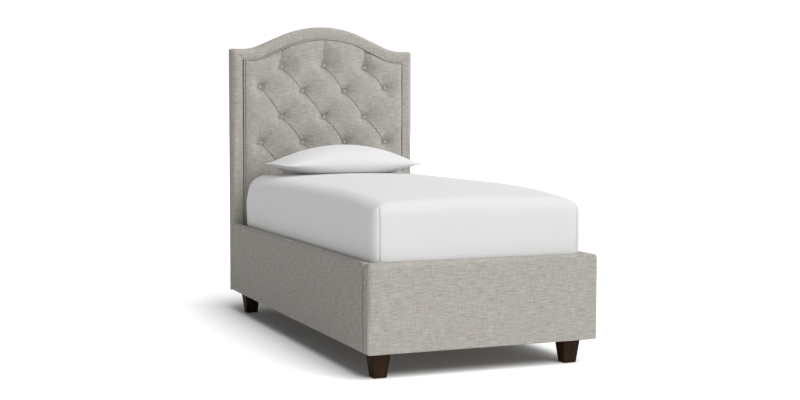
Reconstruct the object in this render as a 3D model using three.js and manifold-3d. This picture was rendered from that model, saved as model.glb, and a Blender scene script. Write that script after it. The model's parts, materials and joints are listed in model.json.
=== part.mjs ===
// An upholstered twin XL panel bed: a camelback headboard with a diamond-tufted centre, a low
// padded footboard and side rails, tapered wooden legs, a slatted deck, and its bedding.
// Millimetres, +Z up, +Y from the foot to the head. The origin is on the floor, at the centre.
import * as THREE from "three";
import { mergeVertices } from "three/addons/utils/BufferGeometryUtils.js";
import Module from "manifold-3d";

const wasm = await Module();
wasm.setup();

// ---------------------------------------------------------------- driving dimensions
const WIDTH = 1118;
const LENGTH = 2233;
const UNDERSIDE = 117; // floor to the underside of the rails and boards
const GAP = 0.3; // clearance kept between pieces that touch

const FOOTBOARD = { thick: 56, top: 507, corner: 20 };
const RAIL = { thick: 40, top: 507, rearCorner: 20 };
const HEADBOARD = {
  thick: 56,
  shoulder: 1511,
  rise: 134,
  crownRadius: 610,
  coveRadius: 254,
  slope: THREE.MathUtils.degToRad(23.5),
  corner: 13,
};
// The seam between the border and the tufted centre has its own camelback curve.
const SEAM = {
  half: 497,
  bottom: 430,
  shoulder: 1454,
  rise: 121,
  crownRadius: 596,
  coveRadius: 200,
  slope: THREE.MathUtils.degToRad(25),
  corner: 14,
};
const PANEL = { thick: 18, inset: 12 };
const BACK_COVER = { thick: 2, inset: 4 };
const PAD = { proud: 12, edge: 14 }; // the tufted centre stands proud of the border, with eased edges
const WELT = { size: 7, inset: 1, recess: 1 };
const EASE = 8; // rounding of upholstered edges

const TUFT = {
  pitch: 129, // sideways, between neighbouring rows
  firstRow: 1423,
  rowStep: 151,
  rows: 5,
  buttonRadius: 10,
  buttonDepth: 6,
  dimpleRadius: 36,
  dimpleDepth: 18,
};

const CORE = { railThick: 16, footThick: 28, topPad: 12, backSkin: 3 };
const LEG = { top: 88, bottom: 60, fromSide: 91, rearFromSide: 81, fromFront: 110, beforeHead: 98 };
const GLIDE = { radius: 13, thick: 1.2 };
const CLEAT = { width: 30, height: 30, top: 245 };
const SLAT = { count: 5, width: 70, thick: 18, pitch: 430 };
const BEAM = { width: 60, height: 70 };
const CROSSBAR = { thick: 25, height: 85 };
const CENTER_LEG = { width: 48, places: [-350, 350], bottom: 22 };
const LEVELLER = { discRadius: 22, discThick: 7, studRadius: 5, studTop: 62, boreTop: 80 };
const BRACKET = { low: 265, high: 420, arm: 60, thick: 4 };

const BOX_SPRING = { half: 508, front: -1052, back: 958, height: 228, corner: 45 };
const MATTRESS = { front: -1055, back: 961, half: 497, side: 788, crown: 20, round: 50 };
const SHEET = 2.4;
const PILLOW = { x: -6, y: 700, half: [415, 218], height: 154, edge: 7, lift: 60 };

// ---------------------------------------------------------------- places worked out from them
const FRONT = -LENGTH / 2;
const REAR = LENGTH / 2;
const HALF = WIDTH / 2;
const footBack = FRONT + FOOTBOARD.thick;
const headFront = REAR - HEADBOARD.thick;
const railInner = HALF - RAIL.thick;
const panelBack = REAR - BACK_COVER.thick - GAP;
const panelFront = panelBack - PANEL.thick;
const slatBottom = CLEAT.top + GAP;
const slatTop = slatBottom + SLAT.thick;
const boxSpringTop = slatTop + GAP + BOX_SPRING.height;
const mattressBottom = boxSpringTop + GAP;
const frontLegX = HALF - LEG.fromSide;
const rearLegX = HALF - LEG.rearFromSide;
const frontLegY = FRONT + LEG.fromFront;
const rearLegY = headFront - LEG.beforeHead;

// ---------------------------------------------------------------- materials
function material(color, roughness, metalness = 0) {
  return new THREE.MeshStandardMaterial({ color, roughness, metalness });
}
const linen = material(0xb8b2aa, 0.9);
const darkWood = material(0x35241b, 0.45);
const pine = material(0xc9a777, 0.7);
const plywood = material(0xb99668, 0.75);
const cambric = material(0x2a2a2b, 0.95);
const sheetCotton = material(0xf1f1f0, 0.85);
const ticking = material(0xe4e2dc, 0.85);
const steel = material(0x8d9094, 0.35, 0.9);
const plastic = material(0x1d1c1b, 0.5);

// ---------------------------------------------------------------- building helpers
const bed = new THREE.Group();

function place(name, geometry, finish, position = [0, 0, 0]) {
  const mesh = new THREE.Mesh(geometry, finish);
  mesh.name = name;
  mesh.position.set(...position);
  bed.add(mesh);
}

function block([x0, x1], [y0, y1], [z0, z1]) {
  const geometry = new THREE.BoxGeometry(x1 - x0, y1 - y0, z1 - z0);
  return geometry.translate((x0 + x1) / 2, (y0 + y1) / 2, (z0 + z1) / 2);
}

function mirrored([low, high], side) {
  return side > 0 ? [low, high] : [-high, -low];
}

function toSolid(geometry) {
  const bare = geometry.clone();
  bare.deleteAttribute("normal");
  bare.deleteAttribute("uv");
  const merged = mergeVertices(bare, 1e-4);
  const mesh = new wasm.Mesh({
    numProp: 3,
    vertProperties: merged.attributes.position.array,
    triVerts: new Uint32Array(merged.index.array),
  });
  return new wasm.Manifold(mesh);
}

function toGeometry(solid) {
  const mesh = solid.getMesh();
  const geometry = new THREE.BufferGeometry();
  geometry.setAttribute("position", new THREE.BufferAttribute(mesh.vertProperties, 3));
  geometry.setIndex(new THREE.BufferAttribute(mesh.triVerts, 1));
  return geometry;
}

function cut(geometry, ...cutters) {
  const start = toSolid(geometry);
  return toGeometry(cutters.reduce((solid, cutter) => solid.subtract(toSolid(cutter)), start));
}

// A shape drawn in x and height, extruded from y0 to y1, with its edges eased by bevel.
function extrudeY(shape, [y0, y1], bevel = 0, steps = 1, bevelSegments = 2, curveSegments = 5) {
  const geometry = new THREE.ExtrudeGeometry(shape, {
    depth: y1 - y0 - 2 * bevel,
    steps,
    curveSegments,
    bevelEnabled: bevel > 0,
    bevelThickness: bevel,
    bevelSize: bevel,
    bevelOffset: -bevel,
    bevelSegments,
  });
  return geometry.rotateX(Math.PI / 2).translate(0, y1 - bevel, 0);
}

// The bottom and the right side of an outline, as far as its rounded top right corner.
function startOutline(half, bottom, top, corner) {
  const shape = new THREE.Shape();
  shape.moveTo(-half, bottom);
  shape.lineTo(half, bottom);
  shape.lineTo(half, top - corner);
  shape.absarc(half - corner, top - corner, corner, 0, Math.PI / 2);
  return shape;
}

function roundedTop(half, bottom, top, corner) {
  const shape = startOutline(half, bottom, top, corner);
  shape.absarc(-half + corner, top - corner, corner, Math.PI / 2, Math.PI);
  return shape;
}

// A camelback outline moved inwards by inset: shoulders, a concave cove, a slope, a convex crown.
function camelback(outline, inset = 0) {
  const { rise, slope } = outline;
  const half = outline.half - inset;
  const shoulder = outline.shoulder - inset;
  const crownRadius = outline.crownRadius - inset;
  const coveRadius = outline.coveRadius + inset;
  const corner = Math.max(outline.corner - inset, 4);
  const slopeDrop = rise - (crownRadius + coveRadius) * (1 - Math.cos(slope));
  const slopeRun = slopeDrop / Math.tan(slope);
  const coveX = (crownRadius + coveRadius) * Math.sin(slope) + slopeRun;
  const coveZ = shoulder + coveRadius;
  const shape = startOutline(half, outline.bottom + inset, shoulder, corner);
  shape.absarc(coveX, coveZ, coveRadius, -Math.PI / 2, -Math.PI / 2 - slope, true);
  shape.absarc(0, shoulder + rise - crownRadius, crownRadius, Math.PI / 2 - slope, Math.PI / 2 + slope);
  shape.absarc(-coveX, coveZ, coveRadius, -Math.PI / 2 + slope, -Math.PI / 2, true);
  shape.absarc(-half + corner, shoulder - corner, corner, Math.PI / 2, Math.PI);
  return shape;
}

// ---------------------------------------------------------------- headboard
const headOutline = { ...HEADBOARD, half: HALF, bottom: UNDERSIDE };

function tuftPlaces() {
  const places = [];
  for (let row = 0; row < TUFT.rows; row += 1) {
    const columns = row % 2 === 0 ? [-2, 0, 2] : [-3, -1, 1, 3];
    for (const column of columns) {
      // The top row follows the crown down at its ends; the next row's ends are pulled up.
      const droop = row === 0 && column !== 0 ? -12 : 0;
      const pull = row === 1 && Math.abs(column) === 3 ? 21 : 0;
      places.push({ x: column * TUFT.pitch, z: TUFT.firstRow - row * TUFT.rowStep + droop + pull });
    }
  }
  return places;
}

function headboard() {
  const pocketFloor = panelFront - GAP;
  const panelPocket = camelback({ ...headOutline, bottom: 0 }, PANEL.inset - GAP);
  place(
    "headboard_border",
    cut(
      extrudeY(camelback(headOutline), [headFront, panelBack], EASE),
      extrudeY(camelback(SEAM), [headFront - 1, pocketFloor + 1]),
      extrudeY(panelPocket, [pocketFloor, REAR]),
    ),
    linen,
  );
  const panelOutline = { ...headOutline, bottom: UNDERSIDE - PANEL.inset };
  place("headboard_panel", extrudeY(camelback(panelOutline, PANEL.inset), [panelFront, panelBack]), plywood);
  const coverOutline = { ...headOutline, bottom: UNDERSIDE - BACK_COVER.inset };
  place("headboard_back_cover", extrudeY(camelback(coverOutline, BACK_COVER.inset), [panelBack + GAP, REAR]), cambric);

  // The welt lies in a channel around the pad, against the border's inner edge.
  const padFront = headFront - PAD.proud;
  const padBack = pocketFloor - GAP;
  const weltFront = headFront + WELT.recess;
  const channelWidth = WELT.inset + WELT.size + 1;
  const base = extrudeY(camelback(SEAM, GAP), [weltFront + WELT.size + GAP, padBack]);
  const fieldOutline = { ...SEAM, corner: channelWidth + PAD.edge + 6 };
  const field = extrudeY(camelback(fieldOutline, channelWidth), [padFront, padBack - 1], PAD.edge);
  const dimples = tuftPlaces().map(({ x, z }) => {
    const depth = TUFT.dimpleDepth + 1;
    const cone = new THREE.CylinderGeometry(TUFT.buttonRadius + 1.5, TUFT.dimpleRadius, depth, 12);
    return cone.translate(x, padFront - 1 + depth / 2, z);
  });
  const pad = toGeometry(toSolid(base).add(toSolid(field)));
  place("headboard_tufted_pad", cut(pad, ...dimples), linen);

  const welt = camelback(SEAM, WELT.inset);
  welt.holes.push(camelback(SEAM, WELT.inset + WELT.size));
  place("headboard_welt", extrudeY(welt, [weltFront, weltFront + WELT.size]), linen);

  tuftPlaces().forEach(({ x, z }, index) => {
    const { buttonRadius: radius, buttonDepth: depth } = TUFT;
    const dome = [[0, 0], [radius, 0], [radius * 0.92, depth * 0.6], [0, depth]];
    const profile = dome.map(([r, h]) => new THREE.Vector2(r, h));
    const button = new THREE.LatheGeometry(profile, 10).rotateX(Math.PI);
    const number = String(index + 1).padStart(2, "0");
    place(`tuft_button_${number}`, button, linen, [x, padFront + TUFT.dimpleDepth - GAP, z]);
  });
}

// ---------------------------------------------------------------- footboard and side rails
function footboard() {
  const shell = roundedTop(HALF, UNDERSIDE, FOOTBOARD.top, FOOTBOARD.corner);
  const coreBack = footBack - CORE.backSkin;
  const coreFront = coreBack - CORE.footThick;
  const coreHalf = HALF - CORE.topPad;
  const coreTop = FOOTBOARD.top - CORE.topPad;
  const slot = block([-coreHalf, coreHalf], [coreFront, coreBack], [0, coreTop]);
  place("footboard_cover", cut(extrudeY(shell, [FRONT, footBack], EASE), slot), linen);
  const core = block(
    [-coreHalf + GAP, coreHalf - GAP],
    [coreFront + GAP, coreBack - GAP],
    [UNDERSIDE + 2, coreTop - GAP],
  );
  place("footboard_core", core, pine);
}

// The rail's side view in y and height, with its rear top corner rounded, extruded across x.
function railShell([x0, x1]) {
  const [front, back, top] = [footBack + GAP, headFront - GAP, RAIL.top];
  const shape = new THREE.Shape();
  shape.moveTo(front, UNDERSIDE);
  shape.lineTo(back, UNDERSIDE);
  shape.lineTo(back, top - RAIL.rearCorner);
  shape.absarc(back - RAIL.rearCorner, top - RAIL.rearCorner, RAIL.rearCorner, 0, Math.PI / 2);
  shape.lineTo(front, top);
  const geometry = new THREE.ExtrudeGeometry(shape, {
    depth: x1 - x0 - 2 * EASE,
    curveSegments: 4,
    bevelThickness: EASE,
    bevelSize: EASE,
    bevelOffset: -EASE,
    bevelSegments: 2,
  });
  return geometry.rotateX(Math.PI / 2).rotateZ(Math.PI / 2).translate(x0 + EASE, 0, 0);
}

function sideRail(name, side) {
  const shellX = mirrored([railInner, HALF], side);
  const slotLow = railInner + CORE.backSkin;
  const slotX = mirrored([slotLow, slotLow + CORE.railThick], side);
  const coreX = mirrored([slotLow + GAP, slotLow + CORE.railThick - GAP], side);
  const coreTop = RAIL.top - CORE.topPad;
  const slot = block(slotX, [footBack, headFront], [0, coreTop]);
  place(`side_rail_${name}_cover`, cut(railShell(shellX), slot), linen);
  const core = block(coreX, [footBack + GAP, headFront - GAP], [UNDERSIDE + 2, coreTop - GAP]);
  place(`side_rail_${name}_core`, core, pine);
}

// ---------------------------------------------------------------- legs and deck
function cornerLeg(name, x, y) {
  const height = UNDERSIDE - GLIDE.thick - 2 * GAP;
  const leg = new THREE.CylinderGeometry(LEG.top / Math.SQRT2, LEG.bottom / Math.SQRT2, height, 4);
  leg.rotateY(Math.PI / 4).rotateX(Math.PI / 2);
  place(`leg_${name}`, leg, darkWood, [x, y, GLIDE.thick + GAP + height / 2]);
  const glide = new THREE.CylinderGeometry(GLIDE.radius, GLIDE.radius - 0.8, GLIDE.thick, 16);
  glide.rotateX(Math.PI / 2);
  place(`leg_glide_${name}`, glide, plastic, [x, y, GLIDE.thick / 2]);
}

function cornerBlock(name, side, legX, [y0, y1]) {
  const blockX = mirrored([legX - LEG.top / 2 - 5, railInner - GAP], side);
  place(`corner_block_${name}`, block(blockX, [y0, y1], [UNDERSIDE, CLEAT.top - CLEAT.height - GAP]), pine);
}

function legs() {
  const margin = LEG.top / 2 + 8;
  for (const [name, side] of [["left", -1], ["right", 1]]) {
    cornerLeg(`front_${name}`, side * frontLegX, frontLegY);
    cornerBlock(`front_${name}`, side, frontLegX, [footBack + GAP, frontLegY + margin]);
    cornerLeg(`rear_${name}`, side * rearLegX, rearLegY);
    cornerBlock(`rear_${name}`, side, rearLegX, [rearLegY - margin, rearLegY + margin]);
  }
}

function deck() {
  const headBar = [headFront - GAP - CROSSBAR.thick, headFront - GAP];
  const footBar = [footBack + GAP, footBack + GAP + CROSSBAR.thick];
  const barZ = [CLEAT.top - CROSSBAR.height, CLEAT.top];
  const cleatInner = railInner - GAP - CLEAT.width;
  const blockInner = frontLegX - LEG.top / 2 - 5 - GAP;
  place("head_crossbar", block([-cleatInner - CLEAT.width, cleatInner + CLEAT.width], headBar, barZ), pine);
  place("foot_crossbar", block([-blockInner, blockInner], footBar, barZ), pine);
  for (const [name, side] of [["left", -1], ["right", 1]]) {
    const cleatX = mirrored([cleatInner, railInner - GAP], side);
    const cleatY = [footBack + GAP, headBar[0] - GAP];
    place(`cleat_${name}`, block(cleatX, cleatY, [CLEAT.top - CLEAT.height, CLEAT.top]), pine);
    headBracket(name, side);
  }
  const beamY = [footBar[1] + GAP, headBar[0] - GAP];
  const beamBottom = CLEAT.top - BEAM.height;
  place("center_beam", block([-BEAM.width / 2, BEAM.width / 2], beamY, [beamBottom, CLEAT.top]), pine);
  CENTER_LEG.places.forEach((y, index) => centerLeg(index + 1, y, beamBottom - GAP));
  const slatHalf = railInner - 3;
  for (let index = 0; index < SLAT.count; index += 1) {
    const y = (index - (SLAT.count - 1) / 2) * SLAT.pitch;
    const slat = new THREE.BoxGeometry(2 * slatHalf, SLAT.width, SLAT.thick);
    place(`slat_${index + 1}`, slat, pine, [0, y, slatBottom + SLAT.thick / 2]);
  }
}

// A steel angle that fastens a side rail to the headboard.
function headBracket(name, side) {
  const outer = railInner - GAP;
  const back = headFront - GAP;
  const shape = new THREE.Shape();
  shape.moveTo(side * outer, back);
  shape.lineTo(side * (outer - BRACKET.arm), back);
  shape.lineTo(side * (outer - BRACKET.arm), back - BRACKET.thick);
  shape.lineTo(side * (outer - BRACKET.thick), back - BRACKET.thick);
  shape.lineTo(side * (outer - BRACKET.thick), back - BRACKET.arm);
  shape.lineTo(side * outer, back - BRACKET.arm);
  const depth = BRACKET.high - BRACKET.low;
  const angle = new THREE.ExtrudeGeometry(shape, { depth, bevelEnabled: false });
  place(`head_bracket_${name}`, angle, steel, [0, 0, BRACKET.low]);
}

// A square post under the beam, bored for the threaded stud of its levelling foot.
function centerLeg(number, y, top) {
  const { width, bottom } = CENTER_LEG;
  const post = new THREE.BoxGeometry(width, width, top - bottom).translate(0, 0, (top + bottom) / 2);
  const boreRadius = LEVELLER.studRadius + 0.6;
  const bore = new THREE.CylinderGeometry(boreRadius, boreRadius, LEVELLER.boreTop, 16);
  bore.rotateX(Math.PI / 2).translate(0, 0, LEVELLER.boreTop / 2);
  place(`center_leg_${number}`, cut(post, bore), pine, [0, y, 0]);
  const { discRadius, discThick, studRadius, studTop } = LEVELLER;
  const outline = [[0, 0], [discRadius, 0], [discRadius, discThick], [studRadius, discThick + 4]];
  const profile = [...outline, [studRadius, studTop], [0, studTop]].map(([r, z]) => new THREE.Vector2(r, z));
  const foot = new THREE.LatheGeometry(profile, 16).rotateX(Math.PI / 2);
  place(`leveling_foot_${number}`, foot, steel, [0, y, 0]);
}

// ---------------------------------------------------------------- bedding
// The mattress top eases down towards its foot end.
function mattressDrop(y) {
  const start = -560;
  return y < start ? 34 * ((start - y) / (start - MATTRESS.front)) ** 1.5 : 0;
}

// One end-view outline serves the mattress and, grown by a little, the sheet stretched over it.
function mattressForm(grow) {
  const half = MATTRESS.half + grow;
  const side = MATTRESS.side + grow;
  const below = mattressBottom - 2 * MATTRESS.round;
  const [edge, edgeZ, topEdge] = [half + 8, side - 78, half - 52];
  const shape = new THREE.Shape();
  shape.moveTo(-half, below);
  shape.lineTo(half, below);
  shape.lineTo(half, mattressBottom);
  shape.quadraticCurveTo(half + 21, (mattressBottom + edgeZ) / 2, edge, edgeZ);
  shape.quadraticCurveTo(edge - 6, side - 4, topEdge, side);
  shape.quadraticCurveTo(0, side + 2 * MATTRESS.crown, -topEdge, side);
  shape.quadraticCurveTo(-edge + 6, side - 4, -edge, edgeZ);
  shape.quadraticCurveTo(-half - 21, (mattressBottom + edgeZ) / 2, -half, mattressBottom);
  const span = [MATTRESS.front - grow, MATTRESS.back + grow];
  const form = extrudeY(shape, span, MATTRESS.round, 8, 3);
  const positions = form.attributes.position;
  for (let index = 0; index < positions.count; index += 1) {
    const z = positions.getZ(index);
    const share = Math.max(0, (z - mattressBottom) / (side - mattressBottom));
    positions.setZ(index, z - share * mattressDrop(positions.getY(index)));
  }
  return form;
}

function sheetTop(x) {
  const reach = MATTRESS.half - 52;
  return MATTRESS.side + SHEET + MATTRESS.crown * (1 - (x / reach) ** 2);
}

// A plump rectangle: thick in the middle, thin at its seam, which stands clear of the mattress.
function pillow() {
  const form = new THREE.BoxGeometry(2, 2, 2, 14, 8, 1);
  const positions = form.attributes.position;
  const [halfX, halfY] = PILLOW.half;
  for (let index = 0; index < positions.count; index += 1) {
    const u = positions.getX(index);
    const v = positions.getY(index);
    const upper = positions.getZ(index) > 0;
    const fullness = ((1 - u * u) * (1 - v * v)) ** 0.45;
    const x = PILLOW.x + halfX * u * (1 - 0.04 * (1 - v * v));
    const y = halfY * v * (1 - 0.06 * (1 - u * u));
    const seam = PILLOW.lift * (1 - fullness) ** 2;
    const thick = PILLOW.edge + (PILLOW.height - PILLOW.edge) * fullness - seam;
    const rest = sheetTop(x) + 2 * GAP + seam;
    positions.setXYZ(index, x, PILLOW.y + y, upper ? rest + Math.max(thick, PILLOW.edge) : rest);
  }
  return form;
}

function bedding() {
  const { half, front, back, height, corner } = BOX_SPRING;
  const plan = new THREE.Shape();
  plan.moveTo(half, front + corner);
  plan.absarc(half - corner, back - corner, corner, 0, Math.PI / 2);
  plan.absarc(-half + corner, back - corner, corner, Math.PI / 2, Math.PI);
  plan.absarc(-half + corner, front + corner, corner, Math.PI, 1.5 * Math.PI);
  plan.absarc(half - corner, front + corner, corner, 1.5 * Math.PI, 2 * Math.PI);
  const box = new THREE.ExtrudeGeometry(plan, { depth: height, bevelEnabled: false, curveSegments: 4 });
  place("box_spring", box, ticking, [0, 0, slatTop + GAP]);

  const reach = [-WIDTH, WIDTH];
  const underside = block(reach, [FRONT, REAR], [0, mattressBottom]);
  place("mattress", cut(mattressForm(0), underside), ticking);
  place("fitted_sheet", cut(mattressForm(SHEET), mattressForm(GAP), underside), sheetCotton);
  place("pillow", pillow(), sheetCotton);
}

headboard();
footboard();
sideRail("left", -1);
sideRail("right", 1);
legs();
deck();
bedding();

export default bed;
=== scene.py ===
"""The upholstered twin bed: covers, bedding, materials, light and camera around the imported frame."""
import json
import math

import bmesh
import bpy
import numpy as np
from mathutils import Matrix, Vector

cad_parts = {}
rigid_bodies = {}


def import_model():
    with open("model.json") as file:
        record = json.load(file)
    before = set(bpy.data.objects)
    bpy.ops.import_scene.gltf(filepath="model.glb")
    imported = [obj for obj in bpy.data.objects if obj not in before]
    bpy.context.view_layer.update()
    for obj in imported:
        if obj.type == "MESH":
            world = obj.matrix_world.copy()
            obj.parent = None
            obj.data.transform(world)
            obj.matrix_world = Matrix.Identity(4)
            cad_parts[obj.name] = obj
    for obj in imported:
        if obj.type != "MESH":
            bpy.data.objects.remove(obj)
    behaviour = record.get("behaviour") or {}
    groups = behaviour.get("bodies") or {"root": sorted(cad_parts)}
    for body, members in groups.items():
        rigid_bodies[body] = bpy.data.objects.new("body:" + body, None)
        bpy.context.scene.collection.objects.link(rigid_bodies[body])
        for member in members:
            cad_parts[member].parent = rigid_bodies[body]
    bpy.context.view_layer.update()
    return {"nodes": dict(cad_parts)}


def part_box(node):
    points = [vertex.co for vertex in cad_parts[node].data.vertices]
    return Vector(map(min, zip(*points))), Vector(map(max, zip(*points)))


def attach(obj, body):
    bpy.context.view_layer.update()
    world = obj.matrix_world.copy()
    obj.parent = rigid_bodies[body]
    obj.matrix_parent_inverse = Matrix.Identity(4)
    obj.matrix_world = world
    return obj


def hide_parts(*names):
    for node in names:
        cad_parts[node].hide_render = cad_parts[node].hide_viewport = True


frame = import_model()

# ---------------------------------------------------------------- places taken from the frame
HEAD_LOW, HEAD_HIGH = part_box("headboard_border")
FOOT_LOW, FOOT_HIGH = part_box("footboard_cover")
MAT_LOW, MAT_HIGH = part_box("mattress")
HALF = HEAD_HIGH[0]
HEAD_FRONT = HEAD_LOW[1]
HEAD_BACK = HEAD_HIGH[1]
UNDERSIDE = HEAD_LOW[2]

# Camelback outlines: the headboard's outer edge and the seam round its tufted centre.
EDGE_LINE = dict(half=HALF, bottom=UNDERSIDE, shoulder=1.511, rise=0.134, crown=0.610, cove=0.254,
                 slope=math.radians(23.5), corner=0.013)
SEAM_LINE = dict(half=0.497, bottom=0.430, shoulder=1.454, rise=0.127, crown=0.596, cove=0.200,
                 slope=math.radians(25), corner=0.014)

# The tufting's half pitch across, the step between its rows and the height of its top row.
PITCH, ROW_STEP, FIRST_ROW = 0.129, 0.151, 1.423
BORDER_SHIFT = 0.007  # how far the border's inner edge lies over to the right
PAD_SHIFT = 0.011  # how far the piping and the tufted centre lie over to the right
PROUD = 0.012  # how far the tufted puffs stand in front of the border
BUTTON_RADIUS, BUTTON_BACK = 0.0098, 0.0052  # the buttons' backs lie this far behind the border's face


# ---------------------------------------------------------------- mesh helpers
def make_object(name, verts, faces, finish, smooth=True, cube_uv=True):
    """A mesh object with outward faces, smooth shading and, for cloth, metric UVs."""
    mesh = bpy.data.meshes.new(name)
    mesh.from_pydata([tuple(v) for v in verts], [], [tuple(f) for f in faces])
    mesh.validate()
    bm = bmesh.new()
    bm.from_mesh(mesh)
    bmesh.ops.recalc_face_normals(bm, faces=bm.faces)
    bm.to_mesh(mesh)
    bm.free()
    mesh.polygons.foreach_set("use_smooth", [smooth] * len(mesh.polygons))
    obj = bpy.data.objects.new(name, mesh)
    bpy.context.scene.collection.objects.link(obj)
    obj.data.materials.append(finish)
    if cube_uv:
        metric_uv(obj)
    return obj


def metric_uv(obj):
    """UVs in metres, projected along each face's main direction, so threads keep their scale."""
    mesh = obj.data
    layer = mesh.uv_layers.new(name="UVMap") if not mesh.uv_layers else mesh.uv_layers[0]
    co = np.empty(len(mesh.vertices) * 3)
    mesh.vertices.foreach_get("co", co)
    co = co.reshape(-1, 3)
    normal = np.empty(len(mesh.polygons) * 3)
    mesh.polygons.foreach_get("normal", normal)
    normal = np.abs(normal.reshape(-1, 3))
    totals = np.empty(len(mesh.polygons), dtype=np.int64)
    mesh.polygons.foreach_get("loop_total", totals)
    loop_vert = np.empty(len(mesh.loops), dtype=np.int64)
    mesh.loops.foreach_get("vertex_index", loop_vert)
    main = np.repeat(np.argmax(normal, axis=1), totals)
    p = co[loop_vert]
    u = np.where(main == 0, p[:, 1], p[:, 0])
    v = np.where(main == 2, p[:, 1], p[:, 2])
    layer.data.foreach_set("uv", np.stack([u, v], axis=1).ravel())


def place(obj, body, slot, *nodes):
    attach(obj, body)
    if nodes:
        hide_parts(*nodes)
    return obj


def loop_faces(loops, closed=False):
    """Quads between vertex loops of equal length; closed joins the last loop to the first."""
    faces = []
    pairs = list(zip(loops, loops[1:] + loops[:1] if closed else loops[1:]))
    for a, b in pairs:
        n = len(a)
        faces += [(a[i], a[(i + 1) % n], b[(i + 1) % n], b[i]) for i in range(n)]
    return faces


def grid_faces(index):
    rows, cols = index.shape
    return [
        (index[i, j], index[i, j + 1], index[i + 1, j + 1], index[i + 1, j])
        for i in range(rows - 1) for j in range(cols - 1)
    ]


def perimeter(index):
    return np.concatenate([index[:-1, 0], index[-1, :-1], index[:0:-1, -1], index[0, :0:-1]])


def edged_samples(low, high, round_low, round_high, step, edge, extra):
    """Places along one direction, close together in the rounded ends. Also gives how far each is
    into its rounded end, from 0 to 1, with its sign. extra adds places within the rounded ends."""
    eased = np.unique(np.concatenate([np.sin(np.linspace(0, math.pi / 2, edge + 1)[1:]), extra]))
    middle = np.linspace(low + round_low, high - round_high,
                         max(3, int(round((high - low - round_low - round_high) / step)) + 1))
    count = len(eased)
    base = np.concatenate([np.full(count, middle[0]), middle, np.full(count, middle[-1])])
    e = np.concatenate([-eased[::-1], np.zeros(len(middle)), eased])
    radius = np.where(e < 0, round_low, round_high)
    return base, e, radius


def soft_slab(low, high, thin, rounds, depth_front, depth_back, step, power=2.0, edge=7,
              walls=3, extra=((), ()), square=2.0):
    """A padded slab: two faces across the thin axis with eased edges, joined by a wall.
    rounds is ((u low, u high), (v low, v high)), how far the easing reaches into each face.
    square above 2 makes the corners of the faces tighter than the easing of the edges.
    Returns points, faces and each point's share of easing (0 on the flat, 1 on the wall)."""
    u_axis, v_axis = [a for a in range(3) if a != thin]
    ub, ue, ur = edged_samples(low[u_axis], high[u_axis], *rounds[0], step, edge, extra[0])
    vb, ve, vr = edged_samples(low[v_axis], high[v_axis], *rounds[1], step, edge, extra[1])
    EU, EV = np.meshgrid(ue, ve, indexing="ij")
    m = np.maximum(abs(EU), abs(EV))
    n = (abs(EU) ** square + abs(EV) ** square) ** (1 / square)
    s = np.where(n > 0, m / np.maximum(n, 1e-9), 1)
    U = ub[:, None] + EU * ur[:, None] * s
    V = vb[None, :] + EV * vr[None, :] * s
    drop = 1 - np.maximum(1 - m ** power, 0) ** (1 / power)
    shape = U.shape
    count = U.size

    def face(w):
        pts = np.empty((count, 3))
        pts[:, u_axis], pts[:, v_axis], pts[:, thin] = U.ravel(), V.ravel(), w.ravel()
        return pts

    front = face(low[thin] + depth_front * drop)
    back = face(high[thin] - depth_back * drop)
    index = np.arange(count).reshape(shape)
    rim = perimeter(index)
    verts, share = [front, back], [m.ravel(), m.ravel()]
    loops = [rim]
    for k in range(1, walls + 1):
        t = k / (walls + 1)
        verts.append(front[rim] * (1 - t) + back[rim] * t)
        share.append(np.ones(len(rim)))
        start = 2 * count + (k - 1) * len(rim)
        loops.append(np.arange(start, start + len(rim)))
    loops.append(rim + count)
    faces = grid_faces(index) + grid_faces(index + count) + loop_faces([list(l) for l in loops])
    return np.concatenate(verts), faces, np.concatenate(share)


def ripple(p, scale, seed=0.0):
    """A smooth, repeatable unevenness between about -1 and 1."""
    x, y, z = p[:, 0] * scale, p[:, 1] * scale, p[:, 2] * scale
    return (np.sin(1.7 * x + 2.3 * z + seed) * np.cos(1.3 * z - 0.7 * y + 2 * seed)
            + 0.6 * np.sin(3.1 * x - 1.9 * y + 3 * seed) * np.sin(2.7 * z + 2.1 * y + seed)
            + 0.3 * np.sin(5.3 * z + 4.1 * x + 5 * seed)) / 1.9


# ---------------------------------------------------------------- camelback outlines
def camel_parts(line, inset):
    """The sizes of an outline that is moved inwards by inset."""
    half, shoulder = line["half"] - inset, line["shoulder"] - inset
    crown, cove = line["crown"] - inset, line["cove"] + inset
    slope, corner = line["slope"], max(line["corner"] - inset, 0.004)
    drop = line["rise"] - (crown + cove) * (1 - math.cos(slope))
    cove_x = (crown + cove) * math.sin(slope) + drop / math.tan(slope)
    return half, shoulder, crown, cove, slope, corner, cove_x


def arc(cx, cz, radius, start, end, count):
    a = np.linspace(start, end, count)
    return np.stack([cx + radius * np.cos(a), cz + radius * np.sin(a)], axis=1)


def camel_stretches(line, inset):
    """The outline as four lines that meet at its corners: bottom, right, top, left."""
    half, shoulder, crown, cove, slope, corner, cove_x = camel_parts(line, inset)
    bottom, q = line["bottom"] + inset, math.pi / 4
    rise = line["rise"]
    right_arc = arc(half - corner, shoulder - corner, corner, 0, q, 6)
    right = np.concatenate([[[half, bottom]], right_arc])
    top = np.concatenate([
        arc(half - corner, shoulder - corner, corner, q, 2 * q, 6),
        arc(cove_x, shoulder + cove, cove, -2 * q, -2 * q - slope, 24),
        arc(0, shoulder + rise - crown, crown, 2 * q - slope, 2 * q + slope, 60),
        arc(-cove_x, shoulder + cove, cove, -2 * q + slope, -2 * q, 24),
        arc(corner - half, shoulder - corner, corner, 2 * q, 3 * q, 6),
    ])
    left = (right * [-1, 1])[::-1]
    return [np.array([[-half, bottom], [half, bottom]]), right, top, left]


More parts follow.
